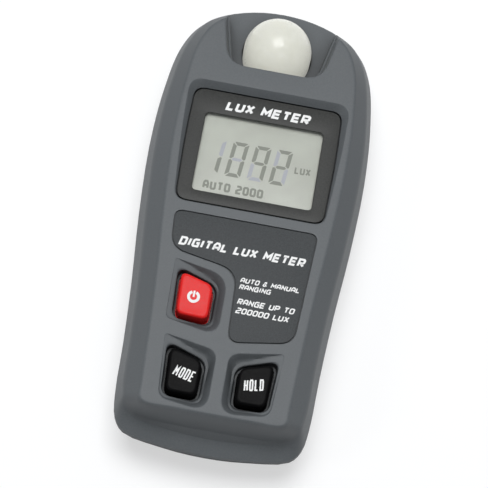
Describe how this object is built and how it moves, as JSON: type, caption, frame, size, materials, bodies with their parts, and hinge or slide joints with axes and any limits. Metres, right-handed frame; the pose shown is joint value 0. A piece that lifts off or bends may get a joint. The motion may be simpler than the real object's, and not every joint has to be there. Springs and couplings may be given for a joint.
{
  "type": "handheld light meter",
  "caption": "Pocket light meter with a domed light sensor at its top end, a display, push buttons and a battery door at the back.",
  "frame": {"origin": "middle of the flat back, which the case rests on", "axes": "X across the width with the power button on the -X side, +Y towards the sensor dome, +Z out of the face"},
  "size_m": [0.056, 0.1212, 0.026],
  "materials": {
    "case_plastic": "fine spark-eroded grain, mid grey",
    "panel_plastic": "clear window in a dark printed border",
    "label_film": "fine-grained printed film",
    "red_plastic": "satin",
    "black_plastic": "satin",
    "diffuser": "opal white, polished",
    "lcd": "grey-green liquid crystal cell",
    "white_plastic": "plain",
    "black_rubber": "striped conductive elastomer",
    "silicone": "translucent grey",
    "circuit_board": "green solder mask",
    "chip_plastic": "moulded epoxy",
    "steel": "zinc plated",
    "brass": "bright",
    "filter_glass": "green optical glass",
    "cell_jacket": "plain printed film jacket",
    "red_wire": "insulation",
    "black_wire": "insulation"
  },
  "bodies": {
    "case": {"front_shell": "case_plastic", "rear_shell": "case_plastic", "display_panel": "panel_plastic", "face_label": "label_film", "power_dome": "silicone", "mode_dome": "silicone", "hold_dome": "silicone", "sensor_dome": "diffuser", "photopic_filter": "filter_glass", "photodiode": "steel", "sensor_board": "circuit_board", "sensor_lead_1": "red_wire", "sensor_lead_2": "black_wire", "lcd_glass": "lcd", "lcd_reflector": "white_plastic", "lcd_holder": "white_plastic", "contact_strip": "black_rubber", "main_board": "circuit_board", "meter_chip": "chip_plastic", "clock_crystal": "steel", "battery_lead_1": "red_wire", "battery_lead_2": "black_wire", "battery_1": "cell_jacket", "battery_2": "cell_jacket", "battery_3": "cell_jacket", "contact_spring_1": "steel", "contact_spring_2": "steel", "contact_spring_3": "steel", "contact_plate_1": "brass", "contact_plate_2": "brass", "contact_plate_3": "brass", "case_screw_1": "steel", "case_screw_2": "steel", "case_screw_3": "steel", "case_screw_4": "steel", "board_screw_1": "steel", "board_screw_2": "steel", "board_screw_3": "steel", "board_screw_4": "steel"},
    "power_key": {"power_button": "red_plastic"},
    "mode_key": {"mode_button": "black_plastic"},
    "hold_key": {"hold_button": "black_plastic"},
    "door": {"battery_door": "case_plastic"}
  },
  "joints": [
    {"name": "power_press", "type": "slide", "parent": "case", "child": "power_key", "axis": [0, 0, -1], "range_m": [0, 0.0008], "stiffness_N_per_m": 1500, "deforming": ["power_dome"]},
    {"name": "mode_press", "type": "slide", "parent": "case", "child": "mode_key", "axis": [0, 0, -1], "range_m": [0, 0.0008], "stiffness_N_per_m": 1500, "deforming": ["mode_dome"]},
    {"name": "hold_press", "type": "slide", "parent": "case", "child": "hold_key", "axis": [0, 0, -1], "range_m": [0, 0.0008], "stiffness_N_per_m": 1500, "deforming": ["hold_dome"]},
    {"name": "door_swing", "type": "hinge", "parent": "case", "child": "door", "pos_m": [0, -0.0472, 0.0001], "axis": [-1, 0, 0], "range_deg": [0, 60]}
  ]
}
